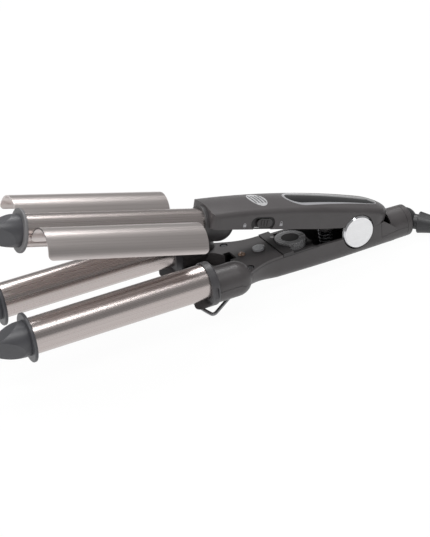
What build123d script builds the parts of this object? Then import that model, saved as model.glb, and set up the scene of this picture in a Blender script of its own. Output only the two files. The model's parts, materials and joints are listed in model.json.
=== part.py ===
from build123d import *
import math
import os

# A three-barrel hair waver. Each jaw is drawn with the hinge axis through its origin:
# X runs towards the tail, Y to the right and Z up. The jaws are then turned and set on the table.
# Sizes are in millimetres and degrees.

# ---------------------------------------------------------------- driving dimensions

# Stance of the open waver
jaw_angle = 14.86  # between the barrel axes of the open jaws
closed_angle = 2.0  # what is left of it when the jaws are shut

# Clearances
seam = 0.2  # between two covers that meet
fit = 0.1  # round a part seated in another of its own body
running = 0.3  # between surfaces of different bodies
pin_running = 0.05  # radial, round a pin that something turns on

# Walls
shell_wall = 2.2
shell_bevel = 3.2  # along the lower corners inside the handle
tube_wall = 1.0
clear = 200.0  # how far a cut or a limit runs where it goes right past the part

# Lower barrels
barrel_radius = 11.0
barrel_spacing = 52.6
barrel_rise = 5.7  # barrel axis above the hinge axis
barrel_tip = -229.4
barrel_root = -116.2  # where the barrel meets the top of its collar
collar_depth = 5.6
collar_seat = 4.0  # how far the barrel reaches into the collar
collar_half_width = 13.2
collar_half_height = 14.0
collar_rise = 3.4
collar_chin = 6.9  # how far the lower edge of the collar leans forward
collar_slot_width = 2.4  # marker slot on its outer side
collar_slot_height = 9.0
collar_slot_depth = 0.9
collar_slot_rise = 1.6
collar_rear_round = 1.5
flange_radius = 15.1
flange_thickness = 2.0
tip_radius = 10.8
tip_length = 24.0
tip_nose_radius = 3.4
tip_swell = (0.55, 0.84)  # share of the length and of the radius where the outline passes
tip_flat_turns = (80, 200, 320)  # round the axis
tip_flat_lean = 27.0
tip_flat_start = 4.0
flange_round = 0.6
spigot_length = 6.0
heater_margin = 8.0  # from the tip to the heater
heater_slot_width = 12.0
heater_slot_height = 4.0

# Root housings behind the lower barrels
root_radius = 11.0
root_rise = 1.1
root_dome_start = -95.5

# Lower handle: distance from the hinge, half width, underside, corner radius
handle_flare = [
    (-96.0, 30.0, -9.1, 7.5),
    (-87.0, 27.2, -9.9, 7.5),
    (-78.0, 22.2, -11.6, 7.5),
    (-69.0, 18.5, -13.9, 7.5),
    (-60.0, 17.1, -15.7, 7.5),
]
handle_grip = [
    (-60.0, 17.1, -15.7, 7.5),
    (-37.25, 16.8, -16.4, 7.5),
    (-14.5, 16.1, -17.0, 7.5),
    (8.25, 14.6, -17.8, 7.8),
    (31.0, 10.9, -20.1, 8.5),
]
handle_roof = 6.0  # the sections are drawn up to here and cut by the deck
deck_height = 1.2  # top of the front cover
parting_height = -0.6  # seam between the front cover and the shell
cover_end = -56.0
parting_step = 3.0  # length of the slope where the seam comes down behind the root housings
platform_edge = 1.9
platform_crest = 2.1
platform_crest_x = -47.0
platform_dip = 0.2  # fall of the platform from its crest to the dial
platform_end = -30.0
sill_front = -0.7  # side walls of the shell in front of the hinge
sill_back = -1.5
bay_radius = 20.0  # crescent recess that takes the upper collar
bay_x = -105.9
bay_floor = -6.3
bay_floor_thickness = 2.6
cavity_front = -84.0
cavity_back = 28.0
shoulder_start = 21.0  # the handle falls away beside the tail from here
shoulder_fall = -8.0

# Tail
tail_start = 20.0
tail_start_radius = 11.0
tail_start_drop = -10.1
tail_radius = 10.5
tail_drop = -10.3
tail_cover_start = 18.6
tail_cover_end = 40.6
tail_end = 44.6
tail_rim_round = 1.0
dome_cover_end = 28.0  # the dome of the upper jaw lies over the tail up to here

# Hinge
pin_radius = 2.5
pin_half_length = 15.3
cap_radius = 11.0
cap_inner = 13.3
cap_outer = 16.2
cap_recess = 11.7
cap_chamfer = 0.9
upper_ear_inner = 10.5
upper_ear_outer = 12.4
upper_ear_radius = 7.0
upper_ear_height = 14.5
lower_ear_inner = 7.5
lower_ear_outer = 10.2
lower_ear_radius = 7.0

# Jaw spring
spring_x = -16.0
spring_radius = 4.2
spring_wire = 1.2
spring_turns = 5.5
spring_seat = -13.4
spring_seat_margin = 2.0
spring_post_radius = 3.2
spring_post_height = 4.0
spring_pad_height = -2.0  # lower face of the post on the upper jaw
spring_pad_radius = 5.6
spring_pad_top = 17.0
spring_spigot_radius = 3.0
spring_spigot_length = 2.5

# Temperature dial
dial_x = -41.9
dial_radius = 10.0
dial_top = 2.8
dial_thickness = 5.0
dial_ribs = 40
dial_rib_depth = 0.45
dial_face_radius = 5.8
dial_face_depth = 0.8
dial_shaft_radius = 2.6
scallop_front = -48.5
scallop_inner = 7.5
scallop_outer = 14.4
scallop_floor = -2.0
rim_height = 0.4
slab_thickness = 1.5
dial_shaft_length = 2.8
dial_control_radius = 6.5

# Button and lamp
button_x = -64.7
button_length = 8.0
button_width = 6.4
button_height = 2.0
button_round = 0.6
button_travel = 0.8
button_flange = 1.2  # how far its hidden rim stands out
button_flange_thickness = 0.8
lamp_rise = 1.5
lamp_round = 1.7
lamp_x = -76.8
lamp_radius = 2.4

# Screws and the lock slot in the front cover
screw_x = -80.4
screw_y = 18.5
screw_recess_radius = 2.6
screw_head_radius = 2.0
screw_head_height = 1.0
screw_recess_depth = 1.4
screw_shank_radius = 1.0
screw_length = 7.0
screw_boss_radius = 2.6
slot_x = -84.0
slot_y = 3.0
slot_length = 5.0
slot_width = 10.0
slot_depth = 6.0

# Circuit board
board_top = -6.4
board_thickness = 1.6
board_front = -79.0
board_back = -27.0
board_half_width = 12.0
board_post_radius = 2.4
board_post_inset = 6.0  # from the ends of the board
board_post_y = 8.0
board_lamp_gap = 0.4  # all round the lamp inside its lens
switch_size = 6.0
ion_module_length = 16.0
ion_module_width = 9.0
ion_module_height = 4.0
ion_module_x = -50.0

# Folding stand
bail_wire = 1.15
bail_spacing = 44.0
bail_pivot_x = -96.4
bail_pivot_rise = -11.6
bail_foot_x = -109.9
bail_foot_rise = -21.8
bail_bow = 5.0
bail_bend = 3.0
bail_eye_bend = 1.6
bail_bow_radius = 80.0
bail_end_inset = 1.0  # from the inner face of the lug to the end of the wire
lug_gap = 0.45  # between the lug and the leg of the wire
lug_thickness = 2.8
lug_radius = 2.9
lug_height = 5.0

# Upper jaw
upper_rise = 2.93  # upper barrel axis above the hinge
upper_radius = 10.0
upper_tip = -224.4
upper_root = -107.0
upper_barrel_seat = 6.0  # how far the centre barrel reaches into the housing
upper_flange_radius = 13.3
upper_tip_radius = 9.8
upper_collar_radius = 12.0
upper_collar_front = -109.4
upper_collar_round = 0.7
upper_nose_radius = 11.0
upper_nose_start = -96.4
upper_half_width = 16.0
upper_front_round = 4.5  # upright corners of its front
upper_taper_start = -25.0
upper_taper = 1.3  # lost from each side where the round end begins
upper_round_x = 12.0
upper_steps = 7  # sections are drawn at even steps up to the round end
upper_hollow_nose = 8.0  # how far the hollow reaches into the round end
crown_top = 19.1
crown_top_x = -49.0
crown_bend = 600.0  # radius of the crown along the jaw
crown_radius = 52.0  # and across it
shoulder_radius = 4.0
upper_depth = 27.0  # the sections are drawn this far down and cut by the lower edge
hollow_floor = -9.0
edge_front = 4.9
edge_front_bend = -92.0
edge_back = 3.3
edge_bend = -30.0
upper_cover_thickness = 2.0
upper_cover_end = -24.0

# Wings of the upper jaw
wing_radius = 15.3
wing_sheet = 0.8
wing_spacing = 54.6
wing_rise = -1.27
wing_outer_edge = 0.73
wing_inner = 12.6
wing_front = -222.9
wing_back = -121.8
wing_corner = 3.0

# Vent, inlay and trim on the crown
vent_x = -70.0
vent_length = 20.0
vent_width = 11.6
vent_slots = 4
vent_slot_width = 1.1
vent_pitch = 2.3
vent_slot_length = 13.0
vent_base = 15.5  # underside of the grille
inlay_front = -49.0
inlay_back = 18.0
inlay_front_radius = 8.0
inlay_back_radius = 6.0
inlay_depth = 0.9
trim_front = 1.7  # width of the trim before the inlay
trim_side = 3.2  # beside the front of the inlay
trim_back = 0.6  # and behind it

# Lock slider
lock_x = -70.6
lock_rise = 8.2
lock_length = 10.8
lock_width = 5.8
lock_travel = 3.0
lock_flange_length = 22.8
lock_flange_thickness = 1.2
lock_sink = 0.5  # how far its face lies below the side wall
lock_recess_depth = 0.8
lock_recess_margin = 1.2
lock_ribs = 3
lock_rib_pitch = 2.0
lock_rib_height = 0.4
lock_rib_inset = 1.0  # from the sides of the knob

# Cord, swivel and plug
ball_radius = 8.4
ball_x = 44.0
socket_clearance = 0.3
cord_swing = 46.0  # sideways, towards the left
relief_neck_radius = 5.1
relief_start = 9.5  # from the centre of the ball
relief_middle = 20.0
relief_end = 46.0
relief_start_radius = 7.4
relief_middle_radius = 5.7
relief_end_radius = 4.4
relief_rim_round = 0.8
relief_groove_start = 23.0
relief_groove_pitch = 3.4
relief_grooves = 6
relief_groove_width = 1.1
relief_groove_depth = 0.7
table_gap = 0.2  # under what lies on the table
cord_radius = 3.5
coil_turns_wide = 3
coil_turns_high = 3
coil_middle_radius = 38.5
coil_x = 252.1
coil_y = -36.3
coil_entry = 235.0  # where on the ring the cord goes in
# Where the cord lies on the table, from the strain relief to the coil
cord_floor_points = [(199.2, -52.7), (214.5, -65.6)]
# From the top turn of the coil up to the plug, which lies on the coil
coil_leave = -35.0  # where on the ring the cord comes up out of it
plug_climb_points = [
    (297.0, -49.0, 17.9),
    (299.2, -35.5, 19.4),
    (295.6, -20.8, 22.6),
    (285.9, -9.4, 26.2),
]
plug_level_points = [(272.6, -3.8), (263.0, -1.6)]
plug_gap = 0.6  # between the plug and the coil that it lies on
plug_length = 34.0
plug_width = 35.0
plug_height = 13.6
plug_neck_radius = 4.6
plug_neck_corner = 4.1
plug_shoulder = 18.0
plug_waist = 28.0  # its width at the shoulder
plug_corner = 6.1
plug_pin_radius = 2.0
plug_pin_length = 19.0
plug_pin_spacing = 18.6

# ---------------------------------------------------------------- derived values

barrel_y = barrel_spacing / 2
flange_front = barrel_tip - flange_thickness
collar_back = barrel_root + collar_depth
upper_flange_front = upper_tip - flange_thickness
upper_barrel_end = upper_root + upper_barrel_seat
dial_floor = dial_top - dial_thickness - running
bail_y = bail_spacing / 2
lug_outer = bail_y - bail_wire - lug_gap
lug_inner = lug_outer - lug_thickness

# The table carries the rim of the tail and the foot of the stand.
rest_x = tail_end - tail_rim_round
rest_z = tail_drop - tail_radius + tail_rim_round
foot_span = math.hypot(rest_x - bail_foot_x, rest_z - bail_foot_rise)
foot_slope = math.degrees(math.atan2(rest_z - bail_foot_rise, rest_x - bail_foot_x))
tilt = foot_slope - math.degrees(math.asin((tail_rim_round - bail_wire) / foot_span))
hinge_height = tail_rim_round + rest_x * math.sin(math.radians(tilt)) - rest_z * math.cos(math.radians(tilt))
nose_x = flange_front - tip_length
hinge_x = -(nose_x + tail_end) / 2 * math.cos(math.radians(tilt))  # sets the middle at zero

lower_place = Location((hinge_x, 0, hinge_height), (0, tilt, 0))
upper_place = Location((hinge_x, 0, hinge_height), (0, tilt + jaw_angle, 0))

os.makedirs("parts", exist_ok=True)


def write(piece, name, place):
    """Set a finished piece in the part's frame, name it and write its file."""
    placed = piece.part.moved(place)
    placed.label = name
    export_step(placed, f"parts/{name}.step")


# ---------------------------------------------------------------- lower body


def tail_form(inset):
    """The round tail, made smaller all round by the inset."""
    with BuildPart() as form:
        with BuildSketch(Plane.YZ.offset(tail_start)):
            with Locations((0, tail_start_drop)):
                Circle(tail_start_radius - inset)
        with BuildSketch(Plane.YZ.offset(tail_end)):
            with Locations((0, tail_drop)):
                Circle(tail_radius - inset)
        loft()
        if not inset:
            fillet(form.edges().group_by(Axis.X)[-1], tail_rim_round)
    return form


with BuildPart() as roots:
    with BuildSketch(Plane.XY.offset(root_rise)):
        with BuildLine():
            Polyline(
                (root_dome_start + root_radius, barrel_y),
                (collar_back, barrel_y),
                (collar_back, barrel_y + root_radius),
                (root_dome_start, barrel_y + root_radius),
            )
            CenterArc((root_dome_start, barrel_y), root_radius, 0, 90)
        make_face()
    revolve(axis=Axis((0, barrel_y, root_rise), (1, 0, 0)))
    mirror(about=Plane.XZ)


def handle_stretch(sections):
    """A stretch of the handle without its deck."""
    with BuildPart() as stretch:
        for x, half_width, underside, corner in sections:
            with BuildSketch(Plane.YZ.offset(x)) as section:
                with Locations((0, underside)):
                    Rectangle(2 * half_width, handle_roof - underside, align=(Align.CENTER, Align.MIN))
                fillet(section.vertices().group_by(Axis.Y)[0], corner)
        loft()
    return stretch


with BuildPart() as handle_outer:
    add(handle_stretch(handle_flare).part)
    add(handle_stretch(handle_grip).part)

with BuildPart() as handle_inner:
    for x, half_width, underside, corner in [*handle_flare, *handle_grip[1:]]:
        reach = half_width - shell_wall
        floor = underside + shell_wall
        with BuildSketch(Plane.YZ.offset(x)):
            Polygon(
                (-reach, handle_roof),
                (-reach, floor + shell_bevel),
                (-reach + shell_bevel, floor),
                (reach - shell_bevel, floor),
                (reach, floor + shell_bevel),
                (reach, handle_roof),
                align=None,
            )
    loft(ruled=True)

tail_outer = tail_form(0)
tail_inner = tail_form(shell_wall)

with BuildPart() as lower_body:
    add(handle_outer.part)
    with BuildSketch(Plane.XZ):
        Polygon(
            *[
                (-clear, -clear),
                (-clear, deck_height),
                (cover_end, deck_height),
                (cover_end, platform_edge),
                (platform_crest_x, platform_crest),
                (dial_x, platform_crest - platform_dip),
                (platform_end, sill_front),
                (-cap_recess, sill_back),
                (cap_recess, 0),
                (shoulder_start, 0),
                (handle_grip[-1][0], shoulder_fall),
                (clear, shoulder_fall),
                (clear, -clear),
            ],
            align=None,
        )
    extrude(amount=clear, both=True, mode=Mode.INTERSECT)
    with BuildSketch(Plane.XY.offset(bay_floor)):
        with Locations((bay_x, 0)):
            Circle(bay_radius)
    extrude(amount=clear, mode=Mode.SUBTRACT)
    with BuildSketch(Plane.XY.offset(bay_floor)):
        with Locations(((collar_back + bay_x + bay_radius) / 2, 0)):
            Rectangle(bay_x + bay_radius - collar_back, barrel_spacing)
    extrude(amount=-bay_floor_thickness)
    add(roots.part)
    add(tail_outer.part)

with BuildPart() as lower_cavity:
    add(handle_inner.part)
    with BuildSketch(Plane.XZ):
        with Locations((cavity_front, 0)):
            Rectangle(cavity_back - cavity_front, 2 * clear, align=(Align.MIN, Align.CENTER))
    extrude(amount=clear, both=True, mode=Mode.INTERSECT)
    with BuildSketch():
        with Locations((bay_x, 0)):
            Circle(bay_radius + shell_wall)
    extrude(amount=clear, both=True, mode=Mode.SUBTRACT)
    add(tail_inner.part)
    with BuildSketch(Plane.YZ.offset(tail_cover_end - shell_wall)):
        Rectangle(clear, clear)
    extrude(amount=clear, mode=Mode.SUBTRACT)


with BuildPart() as ball_seat:
    with Locations((ball_x, 0, tail_drop)):
        Sphere(ball_radius + socket_clearance)


def lower_piece(outline):
    """The part of the lower body inside a side outline."""
    with BuildPart() as piece:
        add(lower_body.part)
        with BuildSketch(Plane.XZ):
            Polygon(*outline, align=None)
        extrude(amount=clear, both=True, mode=Mode.INTERSECT)
    return piece


parting_line = [
    (-clear, root_rise),
    (root_dome_start, root_rise),
    (root_dome_start + parting_step, parting_height),
    (cover_end, parting_height),
]

screw_places = [(screw_x, side * screw_y) for side in (-1, 1)]
post_places = [
    (x, side * board_post_y)
    for x in (board_front + board_post_inset, board_back - board_post_inset)
    for side in (-1, 1)
]

with BuildPart() as catch_slot:
    with BuildSketch(Plane.XY.offset(deck_height - slot_depth)):
        with Locations((slot_x, slot_y)):
            Rectangle(slot_length, slot_width)
    extrude(amount=clear)

with BuildPart() as front_cover:
    add(
        lower_piece(
            [
                *parting_line[:-1],
                (cover_end - seam, parting_height),
                (cover_end - seam, clear),
                (-clear, clear),
            ]
        ).part
    )
    with BuildSketch(Plane.XY.offset(deck_height)):
        with Locations((lamp_x, 0)):
            Circle(lamp_radius + fit)
        with Locations((button_x, 0)):
            Ellipse(button_length / 2 + running, button_width / 2 + running)
        with Locations(*screw_places):
            Circle(screw_shank_radius + fit)
    extrude(amount=-clear, mode=Mode.SUBTRACT)
    with BuildSketch(Plane.XY.offset(deck_height - screw_recess_depth)):
        with Locations(*screw_places):
            Circle(screw_recess_radius)
    extrude(amount=clear, mode=Mode.SUBTRACT)
    add(catch_slot.part, mode=Mode.SUBTRACT)
write(front_cover, "front_cover", lower_place)

with BuildPart() as lower_shell:
    add(lower_body.part)
    with BuildSketch(Plane.XZ):
        Polygon(
            *[
                (-clear, -clear),
                *[(x, z - seam) for x, z in parting_line],
                (platform_end, sill_front - seam),
                (platform_end, sill_front),
                (-cap_recess, sill_back),
                (cap_recess, 0),
                (tail_cover_start - seam, 0),
                (tail_cover_start - seam, tail_drop - seam),
                (tail_cover_end - seam, tail_drop - seam),
                (tail_cover_end - seam, -clear),
            ],
            align=None,
        )
    extrude(amount=clear, both=True, mode=Mode.INTERSECT)
    add(lower_cavity.part, mode=Mode.SUBTRACT)
    # Room for the hinge caps in the side walls
    for side in (-1, 1):
        with BuildSketch(Plane.XZ.offset(side * (cap_inner - fit))):
            Circle(cap_recess)
        extrude(amount=side * clear, mode=Mode.SUBTRACT)
    # What stands on the floor inside goes down into it
    with BuildPart(mode=Mode.PRIVATE) as standing:
        # Ears that carry the hinge pin
        for side in (-1, 1):
            with BuildSketch(Plane.XZ.offset(side * lower_ear_inner)):
                Circle(lower_ear_radius)
                Rectangle(2 * lower_ear_radius, clear, align=(Align.CENTER, Align.MAX))
            extrude(amount=side * (lower_ear_outer - lower_ear_inner))
        # Seat of the jaw spring
        with BuildSketch(Plane.XY.offset(spring_seat)):
            with Locations((spring_x, 0)):
                Circle(spring_radius + spring_seat_margin)
        extrude(amount=-clear)
        # Bosses of the cover screws
        with BuildSketch(Plane.XY.offset(parting_height - seam)):
            with Locations(*screw_places):
                Circle(screw_boss_radius)
        extrude(amount=-clear)
        # Posts under the circuit board
        with BuildSketch(Plane.XY.offset(board_top - board_thickness)):
            with Locations(*post_places):
                Circle(board_post_radius)
        extrude(amount=-clear)
        add(handle_outer.part, mode=Mode.INTERSECT)
    add(standing.part)
    with BuildSketch(Plane.XY.offset(spring_seat)):
        with Locations((spring_x, 0)):
            Circle(spring_post_radius)
    extrude(amount=spring_post_height)
    with BuildSketch(Plane.XY.offset(parting_height)):
        with Locations(*screw_places):
            Circle(screw_shank_radius)
    extrude(amount=-screw_length, mode=Mode.SUBTRACT)
    # Lugs of the folding stand
    for side in (-1, 1):
        with BuildSketch(Plane.XZ.offset(side * lug_inner)):
            with Locations((bail_pivot_x, bail_pivot_rise)):
                Circle(lug_radius)
                Rectangle(2 * lug_radius, lug_height, align=(Align.CENTER, Align.MIN))
                Circle(bail_wire + pin_running, mode=Mode.SUBTRACT)
        extrude(amount=side * (lug_outer - lug_inner))
    # Bore of the hinge pin in the side walls
    with BuildSketch(Plane.XZ):
        Circle(pin_radius)
    extrude(amount=clear, both=True, mode=Mode.SUBTRACT)
    add(catch_slot.part, mode=Mode.SUBTRACT)
    add(ball_seat.part, mode=Mode.SUBTRACT)
write(lower_shell, "lower_shell", lower_place)

with BuildPart() as dial_platform:
    add(
        lower_piece(
            [
                (cover_end + seam, parting_height),
                (cover_end + seam, clear),
                (platform_end, clear),
                (platform_end, sill_front),
            ]
        ).part
    )
    # Slab between the side walls, under the dial
    with BuildSketch(Plane.XY.offset(parting_height)):
        with Locations(((cover_end + platform_end) / 2, 0)):
            Rectangle(platform_end - cover_end - 2 * seam, 2 * scallop_outer - fit)
    extrude(amount=dial_floor - slab_thickness - parting_height)
    # Thumb scallops beside the dial, with a low rim left outside them
    with BuildSketch(Plane.XY.offset(scallop_floor)):
        with Locations((scallop_front, 0)):
            Rectangle(clear, 2 * scallop_outer, align=(Align.MIN, Align.CENTER))
            Rectangle(clear, 2 * scallop_inner, align=(Align.MIN, Align.CENTER), mode=Mode.SUBTRACT)
    extrude(amount=clear, mode=Mode.SUBTRACT)
    with BuildSketch(Plane.XY.offset(rim_height)):
        with Locations((scallop_front, 0)):
            Rectangle(clear, clear, align=(Align.MIN, Align.CENTER))
            Rectangle(clear, 2 * scallop_inner, align=(Align.MIN, Align.CENTER), mode=Mode.SUBTRACT)
    extrude(amount=clear, mode=Mode.SUBTRACT)
    # Pocket and shaft hole of the dial
    with BuildSketch(Plane.XY.offset(dial_floor)):
        with Locations((dial_x, 0)):
            Circle(dial_radius + 2 * running)
    extrude(amount=clear, mode=Mode.SUBTRACT)
    with BuildSketch(Plane.XY.offset(dial_floor)):
        with Locations((dial_x, 0)):
            Circle(dial_shaft_radius + running)
    extrude(amount=-clear, mode=Mode.SUBTRACT)
write(dial_platform, "dial_platform", lower_place)

with BuildPart() as tail_cover:
    add(
        lower_piece(
            [
                (tail_cover_start, tail_drop),
                (tail_cover_start, 0),
                (dome_cover_end, 0),
                (dome_cover_end, clear),
                (tail_cover_end - seam, clear),
                (tail_cover_end - seam, tail_drop),
            ]
        ).part
    )
    add(lower_cavity.part, mode=Mode.SUBTRACT)
    add(ball_seat.part, mode=Mode.SUBTRACT)
write(tail_cover, "tail_cover", lower_place)

with BuildPart() as tail_ring:
    add(lower_piece([(tail_cover_end, -clear), (tail_cover_end, clear), (clear, clear), (clear, -clear)]).part)
    add(ball_seat.part, mode=Mode.SUBTRACT)
write(tail_ring, "tail_ring", lower_place)

# ---------------------------------------------------------------- barrels, collars and tips


def barrel(axis_y, axis_z, radius, start, end):
    """A plain tube along X."""
    with BuildPart() as tube:
        with BuildSketch(Plane.YZ.offset(start)):
            with Locations((axis_y, axis_z)):
                Circle(radius)
                Circle(radius - tube_wall, mode=Mode.SUBTRACT)
        extrude(amount=end - start)
    return tube


def heater(axis_y, axis_z, radius, start, end):
    """A ceramic heater in its round carrier, which lies against the tube."""
    with BuildPart() as core:
        with BuildSketch(Plane.YZ.offset(start)):
            with Locations((axis_y, axis_z)):
                Circle(radius - tube_wall - fit)
                Rectangle(heater_slot_width, heater_slot_height, mode=Mode.SUBTRACT)
        extrude(amount=end - start)
    return core


def flange(axis_y, axis_z, radius, barrel_size, rear):
    """The disc at the tip of a barrel, with the spigot that plugs the tube."""
    with BuildPart() as disc:
        with BuildSketch(Plane.YZ.offset(rear)):
            with Locations((axis_y, axis_z)):
                Circle(radius)
        extrude(amount=-flange_thickness)
        fillet(disc.edges(), flange_round)
        with BuildSketch(Plane.YZ.offset(rear)):
            with Locations((axis_y, axis_z)):
                Circle(barrel_size - tube_wall - fit)
        extrude(amount=spigot_length)
    return disc


def tip(axis_y, axis_z, base_radius, rear):
    """The cool tip: a bullet with three slanting flats."""
    with BuildPart() as bullet:
        with BuildSketch(Plane.XY.offset(axis_z)):
            with BuildLine():
                Line((rear - tip_length, axis_y), (rear, axis_y))
                Line((rear, axis_y), (rear, axis_y + base_radius))
                ThreePointArc(
                    (rear, axis_y + base_radius),
                    (rear - tip_swell[0] * tip_length, axis_y + tip_swell[1] * base_radius),
                    (rear - tip_length, axis_y + tip_nose_radius),
                )
                Line((rear - tip_length, axis_y + tip_nose_radius), (rear - tip_length, axis_y))
            make_face()
        revolve(axis=Axis((0, axis_y, axis_z), (1, 0, 0)))
        fillet(bullet.edges().group_by(Axis.X)[0], tip_nose_radius - 0.6)
        for turn in tip_flat_turns:
            across = (math.cos(math.radians(turn)), math.sin(math.radians(turn)))
            lean = math.radians(tip_flat_lean)
            split(
                bisect_by=Plane(
                    origin=(
                        rear - tip_flat_start,
                        axis_y + base_radius * across[0],
                        axis_z + base_radius * across[1],
                    ),
                    z_dir=(-math.sin(lean), math.cos(lean) * across[0], math.cos(lean) * across[1]),
                ),
                keep=Keep.BOTTOM,
            )
    return bullet


def collar(axis_y, side):
    """The egg-shaped ring that holds the root of a lower barrel."""
    with BuildPart() as ring:
        with BuildSketch(Plane.YZ.offset(collar_back)):
            with Locations((axis_y, collar_rise)):
                Ellipse(collar_half_width, collar_half_height)
        extrude(amount=-collar_depth - collar_chin)
        fillet(ring.edges().group_by(Axis.X)[-1], collar_rear_round)
        with BuildSketch(Plane.XZ.offset(-axis_y)):
            Polygon(
                (barrel_root, clear),
                (barrel_root, barrel_rise - barrel_radius),
                (barrel_root - collar_chin, collar_rise - collar_half_height),
                (barrel_root - collar_chin, -clear),
                (collar_back, -clear),
                (collar_back, clear),
                align=None,
            )
        extrude(amount=clear, both=True, mode=Mode.INTERSECT)
        with BuildSketch(Plane.YZ.offset(barrel_root + collar_seat + fit)):
            with Locations((axis_y, barrel_rise)):
                Circle(barrel_radius + fit)
        extrude(amount=-clear, mode=Mode.SUBTRACT)
        # Marker slot on the outer side
        with BuildSketch(Plane.XZ.offset(-side * (barrel_y + collar_half_width - collar_slot_depth))):
            with Locations(((barrel_root + collar_back) / 2, collar_slot_rise)):
                SlotOverall(collar_slot_height, collar_slot_width, rotation=90)
        extrude(amount=-side * clear, mode=Mode.SUBTRACT)
    return ring


for side, side_name in ((-1, "left"), (1, "right")):
    y = side * barrel_y
    write(
        barrel(y, barrel_rise, barrel_radius, barrel_tip, barrel_root + collar_seat),
        f"{side_name}_barrel",
        lower_place,
    )
    write(
        heater(y, barrel_rise, barrel_radius, barrel_tip + heater_margin, barrel_root - collar_seat),
        f"{side_name}_heater",
        lower_place,
    )
    write(flange(y, barrel_rise, flange_radius, barrel_radius, barrel_tip), f"{side_name}_flange", lower_place)
    write(tip(y, barrel_rise, tip_radius, flange_front), f"{side_name}_tip", lower_place)
    write(collar(y, side), f"{side_name}_collar", lower_place)

write(
    barrel(0, upper_rise, upper_radius, upper_tip, upper_barrel_end),
    "centre_barrel",
    upper_place,
)
write(
    heater(0, upper_rise, upper_radius, upper_tip + heater_margin, upper_root - heater_margin),
    "centre_heater",
    upper_place,
)
write(flange(0, upper_rise, upper_flange_radius, upper_radius, upper_tip), "centre_flange", upper_place)
write(tip(0, upper_rise, upper_tip_radius, upper_flange_front), "centre_tip", upper_place)

with BuildPart() as upper_collar:
    with BuildSketch(Plane.YZ.offset(upper_collar_front)):
        with Locations((0, upper_rise)):
            Circle(upper_collar_radius)
            Circle(upper_radius + fit, mode=Mode.SUBTRACT)
    extrude(amount=upper_root - fit - upper_collar_front)
    fillet(upper_collar.edges().group_by(Axis.X)[0].sort_by(SortBy.RADIUS)[-1], upper_collar_round)
write(upper_collar, "upper_collar", upper_place)


def wing(side):
    """A curved side plate: an arch of sheet metal with a foot against the barrel."""
    centre = (side * wing_spacing / 2, wing_rise)
    outer = wing_radius
    inner = wing_radius - wing_sheet
    foot = wing_rise + math.sqrt(outer**2 - (wing_spacing / 2 - wing_inner) ** 2)
    with BuildPart() as plate:
        with BuildSketch(Plane.YZ.offset(wing_front)):
            with Locations(centre):
                Circle(outer)
                Circle(inner, mode=Mode.SUBTRACT)
            # The arch is open below its feet.
            with Locations((centre[0], wing_outer_edge)):
                Rectangle(4 * outer, 2 * outer, align=(Align.CENTER, Align.MAX), mode=Mode.SUBTRACT)
            with Locations((0, foot)):
                Rectangle(2 * wing_inner, 2 * outer, align=(Align.CENTER, Align.MAX), mode=Mode.SUBTRACT)
            with Locations((side * (upper_radius + 2 * fit), foot)):
                Rectangle(
                    wing_inner + wing_sheet - upper_radius - 2 * fit,
                    wing_sheet,
                    align=(Align.MIN if side > 0 else Align.MAX, Align.MAX),
                )
        extrude(amount=wing_back - wing_front)
        # Rounded corners of the outer lower edge
        outer_corners = plate.edges().filter_by(Axis.Y).group_by(Axis.Z)[0]
        fillet(outer_corners, wing_corner)
    return plate


write(wing(-1), "left_wing", upper_place)
write(wing(1), "right_wing", upper_place)

# ---------------------------------------------------------------- upper housing


def crown_height(x):
    """Height of the crown along the middle of the upper jaw."""
    return crown_top - crown_bend + math.sqrt(crown_bend**2 - (x - crown_top_x) ** 2)


def crown_drop(y):
    """How far the crown falls towards its sides."""
    return math.sqrt(crown_radius**2 - y**2) - crown_radius


def upper_reach(x):
    """Half the width of the upper jaw."""
    beyond = max(x - upper_taper_start, 0) / (upper_round_x - upper_taper_start)
    return upper_half_width - upper_taper * beyond**2


upper_step = (upper_round_x - upper_root) / upper_steps
upper_stations = [upper_root + step * upper_step for step in range(upper_steps)] + [upper_round_x]


def upper_upright(x, inset):
    """A plane across the upper jaw with its origin on the crown. Where the round end begins, it leans with the crown."""
    lean = math.asin((x - crown_top_x) / crown_bend) if x == upper_stations[-1] else 0
    return Plane(
        origin=(x, 0, crown_height(x) - inset),
        x_dir=(0, 1, 0),
        z_dir=(math.cos(lean), 0, -math.sin(lean)),
    )


def upper_form(inset):
    """The upper housing as a block, made smaller all round by the inset."""
    with BuildPart() as form:
        for x in upper_stations:
            reach = upper_reach(x) - inset
            side = crown_drop(reach)
            with BuildSketch(upper_upright(x, inset)) as section:
                with BuildLine():
                    Polyline((-reach, side), (-reach, -upper_depth), (reach, -upper_depth), (reach, side))
                    ThreePointArc((-reach, side), (0, 0), (reach, side))
                make_face()
                fillet(section.vertices().group_by(Axis.Y)[-1], shoulder_radius - inset)
        loft()
        # The round end turns the last section about its upright.
        upright = upper_upright(upper_round_x, inset)
        with BuildSketch(upright) as half:
            with BuildLine():
                Polyline((0, 0), (0, -upper_depth), (-reach, -upper_depth), (-reach, side))
                ThreePointArc((0, 0), (-reach / 2, crown_drop(reach / 2)), (-reach, side))
            make_face()
            fillet(half.vertices().group_by(Axis.X)[0].sort_by(Axis.Y)[-1], shoulder_radius - inset)
        revolve(axis=Axis(upright.origin, upright.y_dir), revolution_arc=180)
    return form


def rear_edge(x):
    """Height of the lower edge behind the hinge, which is level when the jaws are open."""
    angle = math.radians(jaw_angle)
    return (running + x * math.sin(angle)) / math.cos(angle)


lower_edge = [
    (-clear, edge_front),
    (edge_front_bend, edge_front),
    (edge_bend, edge_back),
    (0, edge_back),
    (0, rear_edge(0)),
    (clear, rear_edge(clear)),
]

upper_outer = upper_form(0)
upper_recessed = upper_form(inlay_depth)
upper_bed = upper_form(inlay_depth - fit)

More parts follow.
